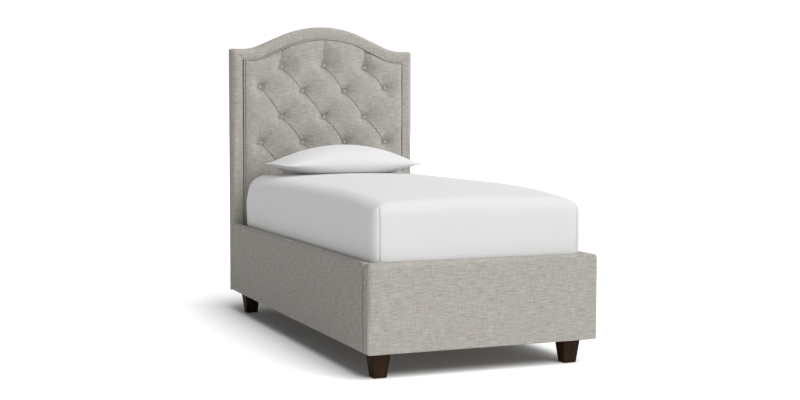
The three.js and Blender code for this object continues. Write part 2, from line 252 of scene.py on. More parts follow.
def resample(points, at):
    step = np.linalg.norm(np.diff(points, axis=0), axis=1)
    along = np.concatenate([[0], np.cumsum(step)])
    along /= along[-1]
    return np.stack([np.interp(at, along, points[:, k]) for k in (0, 1)], axis=1)


def camel_top(x, line, inset):
    """Height of the outline's top at x, with its small corner rounding."""
    half, shoulder, crown, cove, slope, corner, cove_x = camel_parts(line, inset)
    x = abs(x)
    top_z = shoulder + line["rise"]
    crown_end = crown * math.sin(slope)
    cove_start = cove_x - cove * math.sin(slope)
    z = np.full_like(x, shoulder)
    inside = x < cove_x
    z = np.where(inside, shoulder + cove - np.sqrt(np.maximum(cove ** 2 - (cove_x - x) ** 2, 0)), z)
    crown_z = top_z - crown + np.sqrt(np.maximum(crown ** 2 - x ** 2, 0))
    end_z = top_z - crown * (1 - math.cos(slope))
    z = np.where(x < cove_start, end_z - (x - crown_end) * math.tan(slope), z)
    z = np.where(x < crown_end, crown_z, z)
    into = np.clip(x - (half - corner), 0, corner)
    return z - (corner - np.sqrt(corner ** 2 - into ** 2))


# ---------------------------------------------------------------- materials
class Graph:
    """A few words for building a material's nodes."""

    def __init__(self, name, **shader):
        self.material = bpy.data.materials.new(name)
        self.material.use_nodes = True
        self.tree = self.material.node_tree
        self.shader = self.tree.nodes["Principled BSDF"]
        for key, value in shader.items():
            self.shader.inputs[key.replace("_", " ")].default_value = value

    def node(self, kind, inputs=None, **settings):
        made = self.tree.nodes.new(kind)
        for key, value in settings.items():
            setattr(made, key, value)
        for key, value in (inputs or {}).items():
            self.feed(made.inputs[key], value)
        return made

    def feed(self, socket, value):
        if isinstance(value, bpy.types.NodeSocket):
            self.tree.links.new(value, socket)
        else:
            socket.default_value = value

    def coords(self, kind):
        return self.node("ShaderNodeTexCoord").outputs[kind]

    def noise(self, coords, scale, detail=2.0, rough=0.5, shift=(0, 0, 0)):
        mapped = self.node("ShaderNodeMapping", {"Vector": coords, "Scale": scale, "Location": shift})
        inputs = {"Vector": mapped.outputs[0], "Scale": 1.0, "Detail": detail, "Roughness": rough}
        return self.node("ShaderNodeTexNoise", inputs).outputs["Fac"]

    def wave(self, coords, direction, period):
        inputs = {"Vector": coords, "Scale": math.pi / (10 * period), "Distortion": 0.0}
        return self.node("ShaderNodeTexWave", inputs, bands_direction=direction).outputs["Fac"]

    def math(self, operation, a, b):
        return self.node("ShaderNodeMath", {0: a, 1: b}, operation=operation).outputs[0]

    def total(self, *terms):
        """The sum of (value, weight) pairs, each value taken about one half."""
        result = None
        for value, weight in terms:
            term = self.math("MULTIPLY", self.math("SUBTRACT", value, 0.5), weight)
            result = term if result is None else self.math("ADD", result, term)
        return result

    def ramp(self, value, stops):
        made = self.node("ShaderNodeValToRGB", {"Fac": value})
        elements = made.color_ramp.elements
        while len(elements) < len(stops):
            elements.new(0.5)
        for element, (at, color) in zip(elements, stops):
            element.position = at
            element.color = (*color, 1)
        return made.outputs["Color"]

    def color(self, value):
        self.feed(self.shader.inputs["Base Color"], value)

    def rough(self, value):
        self.feed(self.shader.inputs["Roughness"], value)

    def bump(self, height, distance, strength):
        inputs = {"Height": height, "Distance": distance, "Strength": strength}
        made = self.node("ShaderNodeBump", inputs)
        self.feed(self.shader.inputs["Normal"], made.outputs[0])
        return made.outputs[0]


def linen_material():
    """Slubby linen: uneven threads both ways, with faint warm and green-grey patches."""
    g = Graph("linen_weave", Roughness=0.95, Specular_IOR_Level=0.1)
    uv = g.coords("UV")
    weft = g.noise(uv, (50, 390, 1), 2)
    warp = g.noise(uv, (390, 50, 1), 2, shift=(3.1, 7.7, 0))
    weft_slub = g.noise(uv, (20, 185, 1), 1, shift=(11, 2, 0))
    warp_slub = g.noise(uv, (165, 18, 1), 1, shift=(5, 17, 0))
    patch = g.noise(uv, (5, 9, 1), 3, shift=(1, 4, 0))
    threads = g.total((weft, 0.6), (warp, 0.5), (weft_slub, 1.25), (warp_slub, 0.65))
    value = g.math("ADD", g.math("MULTIPLY", threads, 0.80), 0.5)
    shade = g.ramp(value, [(0.0, (0.285, 0.271, 0.247)), (0.5, (0.436, 0.415, 0.381)),
                           (1.0, (0.58, 0.56, 0.52))])
    tint = g.ramp(patch, [(0.3, (0.988, 1.005, 1.0)), (0.5, (1.0, 1.0, 1.0)), (0.7, (1.014, 0.994, 0.988))])
    mix = g.node("ShaderNodeMix", data_type="RGBA", blend_type="MULTIPLY")
    mix.inputs[0].default_value = 1.0
    g.feed(mix.inputs[6], shade)
    g.feed(mix.inputs[7], tint)
    g.color(mix.outputs[2])
    over = g.math("MULTIPLY", g.wave(uv, "X", 0.0021), g.wave(uv, "Y", 0.0021))
    height = g.total((weft, 0.5), (warp, 0.45), (weft_slub, 0.35), (warp_slub, 0.3), (over, 0.25))
    g.bump(height, 0.0012, 0.5)
    return g.material


def cotton_material(tone):
    """Plain white cotton with a fine weave."""
    g = Graph("sheet_cotton", Roughness=0.9, Sheen_Weight=0.25, Sheen_Roughness=0.4, Specular_IOR_Level=0.1)
    uv = g.coords("UV")
    warp = g.noise(uv, (1400, 160, 1), 1)
    weft = g.noise(uv, (160, 1400, 1), 1, shift=(3, 5, 0))
    soft = g.noise(uv, (3, 3, 1), 2, shift=(8, 1, 0))
    value = g.math("ADD", g.total((warp, 0.25), (weft, 0.25), (soft, 0.25)), 0.5)
    low = tuple(c * 0.95 for c in tone)
    high = tuple(min(c * 1.03, 0.95) for c in tone)
    g.color(g.ramp(value, [(0.2, low), (0.8, high)]))
    g.bump(g.total((warp, 0.5), (weft, 0.5)), 0.0003, 0.35)
    return g.material


def ticking_material():
    """Off-white mattress ticking, quilted in an onion-wave pattern."""
    g = Graph("quilted_ticking", Roughness=0.8, Sheen_Weight=0.15, Specular_IOR_Level=0.25)
    uv = g.coords("UV")
    fine = g.noise(uv, (500, 500, 1), 2)
    across = g.wave(uv, "DIAGONAL", 0.075)
    flip = g.node("ShaderNodeMapping", {"Vector": uv, "Scale": (-1, 1, 1)})
    down = g.wave(flip.outputs[0], "DIAGONAL", 0.075)
    quilt = g.math("MINIMUM", across, down)
    value = g.math("ADD", g.total((fine, 0.3), (quilt, 0.25)), 0.5)
    g.color(g.ramp(value, [(0.2, (0.62, 0.60, 0.55)), (0.8, (0.80, 0.78, 0.73))]))
    g.bump(g.total((quilt, 1.0), (fine, 0.06)), 0.006, 0.6)
    return g.material


def wood_material(name, dark, light, along, roughness, grain=1.0, gloss=0.4, ply=False):
    """Wood with its grain along one axis of the object."""
    g = Graph(name, Specular_IOR_Level=gloss)
    coords = g.coords("Object")
    scale = [60 * grain] * 3
    scale[along] = 4 * grain
    streaks = g.noise(coords, scale, 5, 0.6)
    fine_scale = [420 * grain] * 3
    fine_scale[along] = 14 * grain
    pores = g.noise(coords, fine_scale, 2, shift=(4, 9, 2))
    terms = [(streaks, 1.3), (pores, 0.5)]
    if ply:
        terms.append((g.wave(coords, "Y", 0.003), 0.35))
    value = g.math("ADD", g.total(*terms), 0.5)
    g.color(g.ramp(value, [(0.15, dark), (0.85, light)]))
    g.rough(g.math("ADD", g.math("MULTIPLY", pores, 0.2), roughness))
    g.bump(g.total((streaks, 0.4), (pores, 0.6)), 0.0008, 0.35)
    return g.material


def dust_cloth_material():
    """Black non-woven cloth, pressed in small cells."""
    g = Graph("dust_cloth", Roughness=0.95, Specular_IOR_Level=0.1)
    coords = g.coords("Object")
    felt = g.noise(coords, (700, 700, 700), 3)
    cells = g.node("ShaderNodeTexVoronoi", {"Vector": coords, "Scale": 420.0}).outputs["Distance"]
    value = g.math("ADD", g.total((felt, 0.8), (cells, 0.5)), 0.5)
    g.color(g.ramp(value, [(0.2, (0.012, 0.012, 0.013)), (0.8, (0.035, 0.035, 0.036))]))
    g.bump(g.total((cells, 0.6), (felt, 0.4)), 0.0006, 0.5)
    return g.material


def steel_material():
    """Zinc-plated steel with spangle and fine scratches."""
    g = Graph("zinc_steel", Metallic=0.9, Specular_IOR_Level=0.5)
    coords = g.coords("Object")
    spangle = g.node("ShaderNodeTexVoronoi", {"Vector": coords, "Scale": 140.0}).outputs["Color"]
    scratch = g.noise(coords, (900, 900, 60), 2)
    value = g.math("ADD", g.total((spangle, 0.3), (scratch, 0.4)), 0.5)
    g.color(g.ramp(value, [(0.2, (0.36, 0.37, 0.38)), (0.8, (0.56, 0.57, 0.58))]))
    g.rough(g.math("ADD", g.math("MULTIPLY", scratch, 0.25), 0.25))
    g.bump(scratch, 0.0002, 0.3)
    return g.material


def plastic_material():
    """Black nylon with a moulded grain."""
    g = Graph("moulded_nylon", Roughness=0.5, Specular_IOR_Level=0.4)
    coords = g.coords("Object")
    grain = g.noise(coords, (900, 900, 900), 2)
    g.color(g.ramp(grain, [(0.3, (0.012, 0.012, 0.012)), (0.7, (0.026, 0.026, 0.026))]))
    g.bump(grain, 0.0003, 0.4)
    return g.material


LINEN = linen_material()
COTTON = cotton_material((0.715, 0.715, 0.715))
TICKING = ticking_material()
DARK_WOOD = wood_material("espresso_wood", (0.012, 0.0065, 0.003), (0.050, 0.027, 0.011), 2, 0.5,
                          gloss=0.10)
SOFTWOOD, SOFTWOOD_LONG, SOFTWOOD_POST = (
    wood_material(f"planed_softwood{suffix}", (0.50, 0.33, 0.17), (0.70, 0.52, 0.31), along, 0.6)
    for along, suffix in enumerate(("", "_long", "_post"))
)
PLYWOOD = wood_material("plywood", (0.42, 0.28, 0.15), (0.62, 0.45, 0.27), 2, 0.65, 0.6, ply=True)
DUST_CLOTH = dust_cloth_material()
STEEL = steel_material()
PLASTIC = plastic_material()


# ---------------------------------------------------------------- headboard
def tuft_places():
    """Row, column and place of each button. A few lie off the even grid."""
    places = []
    for row in range(5):
        for column in [-2, 0, 2] if row % 2 == 0 else [-3, -1, 1, 3]:
            droop = -0.012 if row == 0 and column else 0
            pull = 0.021 if row == 1 and abs(column) == 3 else 0
            places.append((row, column, column * PITCH, FIRST_ROW - row * ROW_STEP + droop + pull))
    return places


def headboard_border():
    """The padded frame round the tufted centre, mitred at its corners."""
    counts = [60, 90, 180, 90]
    outer, inner, mitre = [], [], []
    edge_parts, seam_parts = camel_stretches(EDGE_LINE, 0), camel_stretches(SEAM_LINE, 0)
    for a, b, count in zip(edge_parts, seam_parts, counts):
        t = np.linspace(0, 1, count + 1)[:-1]
        near = np.array([0.0006, 0.0013, 0.0022, 0.0036, 0.006, 0.010])
        at = np.unique(np.concatenate([t, near, 1 - near]))
        outer.append(resample(a, at))
        inner.append(resample(b, at))
        length = np.linalg.norm(np.diff(a, axis=0), axis=1).sum()
        mitre.append(np.minimum(at, 1 - at) * length)
    outer, inner, mitre = (np.concatenate(parts) for parts in (outer, inner, mitre))
    inner[:, 0] += BORDER_SHIFT
    width = np.linalg.norm(inner - outer, axis=1)
    back = HEAD_BACK
    # The left post is fuller than the rest, and its edge turns back more slowly.
    fuller = np.clip((-0.30 - outer[:, 0]) / 0.15, 0, 1)
    r, deep = 0.026 + 0.020 * fuller, 0.011 + 0.027 * fuller
    profile = [(0.002, None, back), (0.0, None, back - 0.003), (0.0, None, back - 0.016)]
    for a in np.linspace(0, 90, 15):
        c, s = math.cos(math.radians(a)), math.sin(math.radians(a))
        profile.append((r * (1 - c), None, HEAD_FRONT + deep * (1 - s)))
    profile += [(None, f, HEAD_FRONT) for f in (0.25, 0.5, 0.75)]
    r_in = 0.0018
    for a in np.linspace(90, 0, 6):
        c, s = math.cos(math.radians(a)), math.sin(math.radians(a))
        profile.append((None, -r_in * (1 - c) - 1e-6, HEAD_FRONT + r_in * (1 - s)))
    profile.append((None, -1e-6, HEAD_FRONT + 0.014))
    profile.append((None, -1e-6, back - 0.021))
    profile.append((None, -0.010, back - 0.0205))
    loops, verts = [], []
    direction = (inner - outer) / width[:, None]
    for near_edge, share, y in profile:
        if near_edge is not None:
            reach = near_edge + np.zeros(len(width))
        elif share < 0:
            reach = width + share
        else:
            reach = r + (width - r - r_in) * share
        xz = outer + direction * reach[:, None]
        ys = y + np.zeros(len(width))
        if np.all(ys <= HEAD_FRONT + deep * 0.8):
            full = np.clip(reach / np.minimum(width, 0.075), 0, 1)
            ys = ys + 0.0013 * np.exp(-(mitre / 0.0022) ** 2) + 0.0008 * np.exp(-(mitre / 0.012) ** 2)
            ys = ys + 0.0030 * (1 - np.sin(math.pi * full ** 0.75))
        start = sum(len(v) for v in verts)
        verts.append(np.stack([xz[:, 0], ys, xz[:, 1]], axis=1))
        loops.append(list(range(start, start + len(width))))
    points = np.concatenate(verts)
    front = points[:, 1] < HEAD_FRONT + 0.004
    points[front, 1] += 0.0005 * ripple(points[front], 9, 1.0)
    obj = make_object("headboard_border_cover", points, loop_faces(loops, closed=True), LINEN)
    place(obj, "root", "linen", "headboard_border")
    return obj


def segment_distance(X, Z, path):
    """Signed distance to a polyline (positive on the right of its direction) and place along it."""
    best = np.full(X.shape, 1e9)
    side = np.zeros(X.shape)
    along = np.zeros(X.shape)
    n = len(path) - 1
    for k in range(n):
        (ax, az), (bx, bz) = path[k], path[k + 1]
        dx, dz = bx - ax, bz - az
        length = math.hypot(dx, dz)
        t = np.clip(((X - ax) * dx + (Z - az) * dz) / length ** 2, 0, 1)
        px, pz = X - (ax + t * dx), Z - (az + t * dz)
        d = np.hypot(px, pz)
        closer = d < best
        best = np.where(closer, d, best)
        side = np.where(closer, np.sign(px * dz - pz * dx), side)
        along = np.where(closer, (k + t) / n, along)
    return best * np.where(side == 0, 1, side), along


def bowed(a, b, bow, count=7):
    """A line from a to b that bows to its left by bow."""
    a, b = np.array(a), np.array(b)
    d = b - a
    normal = np.array([-d[1], d[0]]) / np.linalg.norm(d)
    return [tuple(a + d * t + normal * bow * 4 * t * (1 - t)) for t in np.linspace(0, 1, count)]


# The tufting's shape: how deep its parts are, and how far they reach to a side.
FOLD = 0.0021  # half width of a pleat's narrow fold
FALL_FOLD, FALL_VALLEY, FALL_REACH = 0.0058, 0.0055, 0.018  # pleats that fall to the right
RISE_FOLD, RISE_FOLD_LOW, RISE_WIDTH = 0.0044, 0.0020, 0.0022  # pleats that rise to the right
RISE_VALLEY, RISE_GATHER, RISE_REACH = 0.003, 0.0035, 0.019
PLEAT_FOLD, PLEAT_FOLD_WIDTH = 0.0020, 0.0019  # upright pleats at the top and bottom
PLEAT_DROP, PLEAT_EDGE = 0.0370, 0.0016
SIDE_FOLD, SIDE_FOLD_WIDTH, SIDE_VALLEY, SIDE_REACH = 0.0012, 0.0024, 0.003, 0.016
PULL, PULL_FLAT, PULL_REACH, PULL_LEAN = 0.0400, 0.007, 0.038, 0.013  # round each button


def tufting_height(X, Z):
    """How far the tufted cover stands in front of the border's face."""
    depth, fold = np.zeros(X.shape), np.zeros(X.shape)
    places = {(row, column): (x, z) for row, column, x, z in tuft_places()}
    for (row, column), (x, z) in places.items():
        right_down = places.get((row + 1, column + 1))
        left_down = places.get((row + 1, column - 1))
        if right_down:
            s, t = segment_distance(X, Z, bowed((x, z), right_down, 0.001))
            ends = 0.55 + 0.45 * (2 * abs(t - 0.5)) ** 2
            fold = np.maximum(fold, FALL_FOLD * np.exp(-(s / FOLD) ** 2))
            depth = np.maximum(depth, FALL_VALLEY * ends * np.exp(-(abs(s) / FALL_REACH) ** 1.3))
        if left_down:
            s, t = segment_distance(X, Z, bowed((x, z), left_down, 0.004))
            near_low = np.clip((t - 0.55) / 0.3, 0, 1)
            near_high = np.clip((0.25 - t) / 0.25, 0, 1)
            crease = RISE_FOLD if row < 2 else RISE_FOLD_LOW
            line = np.maximum(near_low, 0.5 * near_high)
            fold = np.maximum(fold, crease * line * np.exp(-(s / RISE_WIDTH) ** 2))
            valley = RISE_VALLEY + RISE_GATHER * near_low
            depth = np.maximum(depth, valley * np.exp(-(abs(s) / RISE_REACH) ** 1.5))
        if row in (0, 4):
            # An upright pleat: the cloth on its left folds over the lower cloth on its right.
            up = 1 if row == 0 else -1
            end = (x + 0.004 * up, z + up * 0.4)
            s, t = segment_distance(X, Z, bowed((x, z), end, 0.0, 3))
            s = s * up
            gap = abs(Z - z)
            spread = np.clip(0.150 - 0.85 * gap, 0.035, 0.115) * (0.65 if column == 2 else 1)
            rise = np.where(s > 0, np.clip(1 - s / spread, 0, 1) ** 1.25, np.exp(-(s / PLEAT_EDGE) ** 2))
            depth = np.maximum(depth, PLEAT_DROP * rise * np.clip(1.18 - gap * 6.5, 0.24, 1))
            fold = np.maximum(fold, PLEAT_FOLD * np.exp(-(s / PLEAT_FOLD_WIDTH) ** 2))
        if abs(column) == 3:
            out = 1 if column > 0 else -1
            s, t = segment_distance(X, Z, bowed((x, z), (x + out * 0.13, z - 0.002), 0.0, 2))
            fold = np.maximum(fold, SIDE_FOLD * np.exp(-(s / SIDE_FOLD_WIDTH) ** 2) * (1 - 0.5 * t))
            valley = SIDE_VALLEY * np.exp(-(abs(s) / SIDE_REACH) ** 1.5)
            depth = np.maximum(depth, valley * (1 - 0.7 * t))
    dimple = np.zeros(X.shape)
    for _, _, x, z in tuft_places():
        r = np.hypot(X - x, Z - z)
        angle = np.arctan2(Z - z, X - x)
        gather = 0.0006 * np.cos(9 * angle + 40 * x) * np.exp(-((r - 0.02) / 0.012) ** 2)
        reach = PULL_REACH + PULL_LEAN * np.cos(angle - math.radians(50))
        bowl = PULL * np.exp(-(np.maximum(r - PULL_FLAT, 0) / reach) ** 1.1)
        dimple = np.maximum(dimple, bowl + gather)
    mound = 0.0015 * np.cos(X * math.pi / PITCH) * np.cos((Z - FIRST_ROW) * math.pi / ROW_STEP)
    return PROUD - np.hypot(depth, dimple) - fold + abs(mound)


def tufted_centre():
    """The diamond-tufted pad: puffs between pleats that run from button to button."""
    inset = 0.0090
    half = SEAM_LINE["half"] - inset
    bottom = SEAM_LINE["bottom"] + inset
    ease = np.array([0, 0.0006, 0.0015, 0.003, 0.005, 0.008, 0.012, 0.016])
    xs = np.concatenate([-half + ease, np.linspace(-half + 0.02, half - 0.02, 364), half - ease[::-1]])
    xs = xs[:, None]
    top = camel_top(xs[:, 0], SEAM_LINE, inset)[:, None]
    rows_low = np.linspace(0.02, 0.335, 34)
    rows_high = np.linspace(0.338, 1, 292)
    level = np.concatenate([rows_low, rows_high])
    z_low = bottom + ease
    z_mid = bottom + (top - 0.02 - bottom) * level[None, :]
    z_top = top - ease[::-1][None, :]
    Z = np.concatenate([np.repeat(z_low[None, :], len(xs), 0), z_mid, z_top], axis=1)
    Z = np.sort(Z, axis=1)
    X = np.repeat(xs, Z.shape[1], axis=1)
    height = tufting_height(X + PAD_SHIFT, Z)
    slope = np.gradient(top[:, 0], xs[:, 0])[:, None]
    to_top = (top - Z) / np.hypot(1, np.clip(slope, -0.6, 0.6))
    margin = np.minimum(np.minimum(half - abs(X), Z - bottom), to_top)
    lip = np.clip(1 - margin / 0.004, 0, 1)
    roll = np.clip(1 - margin / 0.055, 0, 1)
    height = height - 0.010 * (1 - np.sqrt(1 - lip ** 2)) - 0.0115 * roll ** 2
    points = np.stack([X + PAD_SHIFT, HEAD_FRONT - height, Z], axis=2).reshape(-1, 3)
    points[:, 1] += 0.0006 * ripple(points, 16, 2.0)
    index = np.arange(X.size).reshape(X.shape)
    rim = list(perimeter(index))
    # The cover turns outwards at the bottom of its groove, and then back to the panel.
    wall = points[rim].copy()
    wall[:, 1] = HEAD_FRONT + 0.012
    ahead = np.roll(wall, -1, 0) - np.roll(wall, 1, 0)
    outward = np.stack([ahead[:, 2], 0 * ahead[:, 0], -ahead[:, 0]], axis=1)
    outward *= np.sign((outward * (wall - wall.mean(0))).sum()) / np.linalg.norm(outward, axis=1)[:, None]
    flange = wall + 0.0055 * outward - np.array([0.0035, 0, 0])
    back = flange.copy()
    back[:, 1] = HEAD_BACK - 0.0225
    rings = [list(range(len(points) + k * len(rim), len(points) + (k + 1) * len(rim))) for k in range(3)]
    faces = grid_faces(index) + loop_faces([rim] + rings) + [tuple(rings[-1])]
    obj = make_object("headboard_tufting", np.concatenate([points, wall, flange, back]), faces, LINEN)
    place(obj, "root", "linen", "headboard_tufted_pad")
    return obj


def swept_tube(name, line, radius, finish, sides):
    """A closed tube along a closed line of points."""
    line = np.array(line)
    ahead = np.roll(line, -1, 0) - np.roll(line, 1, 0)
    ahead /= np.linalg.norm(ahead, axis=1)[:, None]
    loops, verts = [], []
    a = np.linspace(0, 2 * math.pi, sides, endpoint=False)
    up = np.array([0.0, 1.0, 0.0]) if abs(ahead[:, 1]).max() < 0.5 else np.array([0.0, 0.0, 1.0])
    side = np.cross(ahead, up)
    side /= np.linalg.norm(side, axis=1)[:, None]
    for angle in a:
        verts.append(line + side * math.cos(angle) * radius + up * math.sin(angle) * radius)
        start = len(loops) * len(line)
        loops.append(list(range(start, start + len(line))))
    return make_object(name, np.concatenate(verts), loop_faces(loops, closed=True), finish)


def headboard_welt():
    """The piping in the groove between the border and the tufted centre."""
    parts = camel_stretches(SEAM_LINE, 0.0042)
    line = np.concatenate([resample(p, np.linspace(0, 1, n + 1)[:-1])
                           for p, n in zip(parts, (60, 80, 160, 80))])
    behind = np.full(len(line), HEAD_FRONT + 0.0014)
    points = np.stack([line[:, 0] + PAD_SHIFT, behind, line[:, 1]], axis=1)
    obj = swept_tube("headboard_piping", points, 0.0040, LINEN, 12)
    return place(obj, "root", "linen", "headboard_welt")


def tuft_buttons():
    """The covered buttons, as domed forms turned round their own axes."""
    profile = [(0.0, -0.0062), (0.0028, -0.0061), (0.0056, -0.0055), (0.0078, -0.0044), (0.0092, -0.0029),
               (BUTTON_RADIUS, -0.001), (0.0095, 0.0008), (0.0086, 0.0012)]
    sides = 24
    for number, (_, _, x, z) in enumerate(tuft_places(), start=1):
        verts = [(x, HEAD_FRONT + BUTTON_BACK + profile[0][1], z)]
        loops = []
        for r, y in profile[1:]:
            start = len(verts)
            for k in range(sides):
                a = 2 * math.pi * k / sides
                verts.append((x + r * math.cos(a), HEAD_FRONT + BUTTON_BACK + y, z + r * math.sin(a)))
            loops.append(list(range(start, start + sides)))
        faces = [(0, loops[0][k], loops[0][(k + 1) % sides]) for k in range(sides)]
        faces += loop_faces(loops) + [tuple(loops[-1])]
        obj = make_object(f"covered_button_{number:02d}", verts, faces, LINEN)
        place(obj, "root", "linen", f"tuft_button_{number:02d}")


# ---------------------------------------------------------------- footboard and rails
FOOT_EASE = 0.022  # how far the footboard's rounded front edges reach back
JOINT = 0.008  # width of the shadow line between a rail and the footboard
LEG_FOOT, LEG_TOP = 60, 88  # a leg's widths at its foot and its top, in millimetres


def footboard():
    """The padded footboard: crisp pulled edges and a faintly full face."""
    verts, faces, share = soft_slab(FOOT_LOW, FOOT_HIGH, 1, ((0.024, 0.014), (0.006, 0.026)),
                                    FOOT_EASE, 0.004, 0.012, 2.1, 10)
    mid = (FOOT_LOW + FOOT_HIGH) / 2
    size = FOOT_HIGH - FOOT_LOW
    # The easing is full at the left and top edges and tighter at the right and bottom ones.
    right = np.clip(verts[:, 0] / 0.2, 0, 1)
    below = np.clip((mid[2] - verts[:, 2]) / 0.1, 0, 1)
    into = verts[:, 1] - FOOT_LOW[1]
    tight = 1 - 0.65 * np.maximum(right, below)
    verts[:, 1] = FOOT_LOW[1] + np.where(into <= FOOT_EASE * 1.01, into * tight, into)
    u = (verts[:, 0] - mid[0]) / (size[0] / 2)
    v = (verts[:, 2] - mid[2]) / (size[2] / 2)
    front = verts[:, 1] < mid[1]
    face = np.clip(1 - share, 0, 1)
    verts[:, 1] += np.where(front, 0.0004 * ripple(verts, 8, 3.0), 0) * face
    verts[:, 1] += np.where(front, 0.0015 * (abs(u) ** 6 + abs(v) ** 6), 0) * face
    obj = make_object("footboard_padding", verts, faces, LINEN)
    place(obj, "root", "linen", "footboard_cover")
    return obj


def side_rail(name, side):
    """A padded rail, set back a little from the footboard so that a shadow line shows."""
    low, high = (Vector(c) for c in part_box(f"side_rail_{name}_cover"))
    start = low + Vector((0, JOINT, 0))
    verts, faces, share = soft_slab(start, high, 0, ((0.003, 0.018), (0.012, 0.0145)),
                                    0.0145, 0.0145, 0.014, 2.1, 8)
    face = np.clip(1 - share, 0, 1)
    outer = (verts[:, 0] * side) > (abs(low[0]) + abs(high[0])) / 2
    verts[:, 0] += side * np.where(outer, 0.0005 * ripple(verts, 7, 4.0 + side), 0) * face
    # The fabric tucked into the joint with the footboard.
    tuck_low = low + Vector((0.012, 0, 0.012))
    tuck_high = Vector((high[0] - 0.012, low[1] + JOINT + 0.020, high[2] - 0.012))
    tuck, tuck_faces, _ = soft_slab(tuck_low, tuck_high, 0, ((0.002, 0.002), (0.004, 0.004)),
                                    0.004, 0.004, 0.02, 2.0, 3)
    faces = faces + [tuple(int(i) + len(verts) for i in f) for f in tuck_faces]
    obj = make_object(f"side_rail_{name}_padding", np.concatenate([verts, tuck]), faces, LINEN)
    place(obj, "root", "linen", f"side_rail_{name}_cover")
    return obj


def tapered_leg(name):
    """A square leg that tapers to its foot, with eased edges."""
    low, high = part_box(f"leg_{name}")
    cx, cy = (low[0] + high[0]) / 2, (low[1] + high[1]) / 2
    top_half = (high[0] - low[0]) / 2
    foot_half = top_half * LEG_FOOT / LEG_TOP
    levels = [(0.0, -0.0022), (0.0007, -0.0008), (0.0022, 0.0)]
    height = high[2] - low[2]
    rows = [(z, inset) for z, inset in levels] + [(height * k / 6, 0.0) for k in range(1, 6)]
    rows += [(height - 0.001, 0.0), (height, -0.001)]
    verts, loops = [], []
    ease, steps = 0.0028, 5
    for z, inset in rows:
        half = foot_half + (top_half - foot_half) * z / height + inset
        start = len(verts)
        for quarter in range(4):
            for k in range(steps):
                a = math.pi / 2 * (quarter + k / (steps - 1))
                sx = 1 if quarter in (0, 3) else -1
                sy = 1 if quarter in (0, 1) else -1
                verts.append((cx + sx * (half - ease) + ease * math.cos(a),
                              cy + sy * (half - ease) + ease * math.sin(a), low[2] + z))
        loops.append(list(range(start, start + 4 * steps)))
    faces = loop_faces(loops) + [tuple(loops[0]), tuple(loops[-1])]
    obj = make_object(f"tapered_leg_{name}", verts, faces, DARK_WOOD, cube_uv=False)
    obj.data.set_sharp_from_angle(angle=math.radians(40))
    return place(obj, "root", "dark_wood", f"leg_{name}")


# ---------------------------------------------------------------- bedding
CROWN = 0.020
SIDE_TOP = 0.788  # the mattress top's height at its sides
HALF_MATTRESS = 0.4955  # at its bottom edge, the narrowest part
EDGE_REACH = 0.080  # how far the easing of the long top edges reaches in
SHEET_SEAM = 0.480  # the sheet's corner seams, out from the middle
SEAM_TOP, SEAM_DEPTH, SEAM_WIDTH = 0.756, 0.0065, 0.0026


def mattress_top(x, y):
    """Height of the bare mattress top, which is crowned and eases down at its foot."""
    start, front = -0.36, MAT_LOW[1]
    t = np.clip((start - y) / (start - front), 0, 1)
    side = SIDE_TOP - 0.036 * t ** 2.1
    return side + CROWN * np.clip(1 - (x / 0.47) ** 2, 0, 1) * (1 - 0.3 * t ** 3)


def bulge(z):
    """How far the sides stand out at a height, over the narrow bottom edge."""
    z = np.asarray(z, float)
    return np.interp(z, [0.49, 0.53, 0.57, 0.60, 0.64, 0.68, 0.72, 0.80],
                     [0.0115, 0.0135, 0.0155, 0.0165, 0.0165, 0.0150, 0.0125, 0.0120])


def mattress_form(grow, bottom, seams=False):
    half, reach = HALF_MATTRESS + grow, (MAT_LOW[1] - grow, MAT_HIGH[1] + grow)
    low = (-half, reach[0], bottom)
    high = (half, reach[1], SIDE_TOP + grow)
    seam_share = (SHEET_SEAM / (1 + 0.0165 / half) - (half - EDGE_REACH)) / EDGE_REACH
    beside = np.array([-7, -4.5, -3, -2, -1.2, -0.5, 0, 0.5, 1.2, 2, 3, 4.5, 7]) * 0.001 / EDGE_REACH
    extra = seam_share + beside if seams else ()
    verts, faces, share = soft_slab(low, high, 2, ((EDGE_REACH, EDGE_REACH), (0.060, 0.095)), 0.009,
                                    0.075, 0.022, 2.2, 12, walls=12, extra=(extra, ()), square=3.4)
    return verts, faces, share, half, reach


def shape_mattress(verts, share, half, reach, grow):
    """Crowns the top, eases the foot end and lets the sides stand out."""
    flat_top = SIDE_TOP + grow
    x, y, z = verts[:, 0].copy(), verts[:, 1].copy(), verts[:, 2].copy()
    inner_x = np.clip(x, -half + EDGE_REACH, half - EDGE_REACH)
    inner_y = np.clip(y, reach[0] + 0.05, reach[1] - 0.05)
    new_top = mattress_top(inner_x, inner_y) + grow
    above = np.clip((z - (flat_top - 0.30)) / 0.30, 0, 1)
    verts[:, 2] = z + (new_top - flat_top) * above ** 1.5
    out = bulge(verts[:, 2]) * np.clip(share, 0, 1) ** 2
    rear = np.clip((y - 0.35) / 0.6, 0, 1)
    high = np.clip((z - 0.63) / 0.155, 0, 1)
    verts[:, 0] = x * (1 + out / half - 0.062 * rear * high ** 1.6)
    centre = (reach[0] + reach[1]) / 2
    length = (reach[1] - reach[0]) / 2
    verts[:, 1] = centre + (y - centre) * (1 + 0.2 * out / length)
    return verts


def mattress():
    bottom = MAT_LOW[2] + 0.0015
    verts, faces, share, half, reach = mattress_form(-0.001, bottom)
    verts = shape_mattress(verts, share, half, reach, -0.001)
    obj = make_object("mattress_core", verts, faces, TICKING)
    place(obj, "mattress_body", "ticking", "mattress")
    return obj


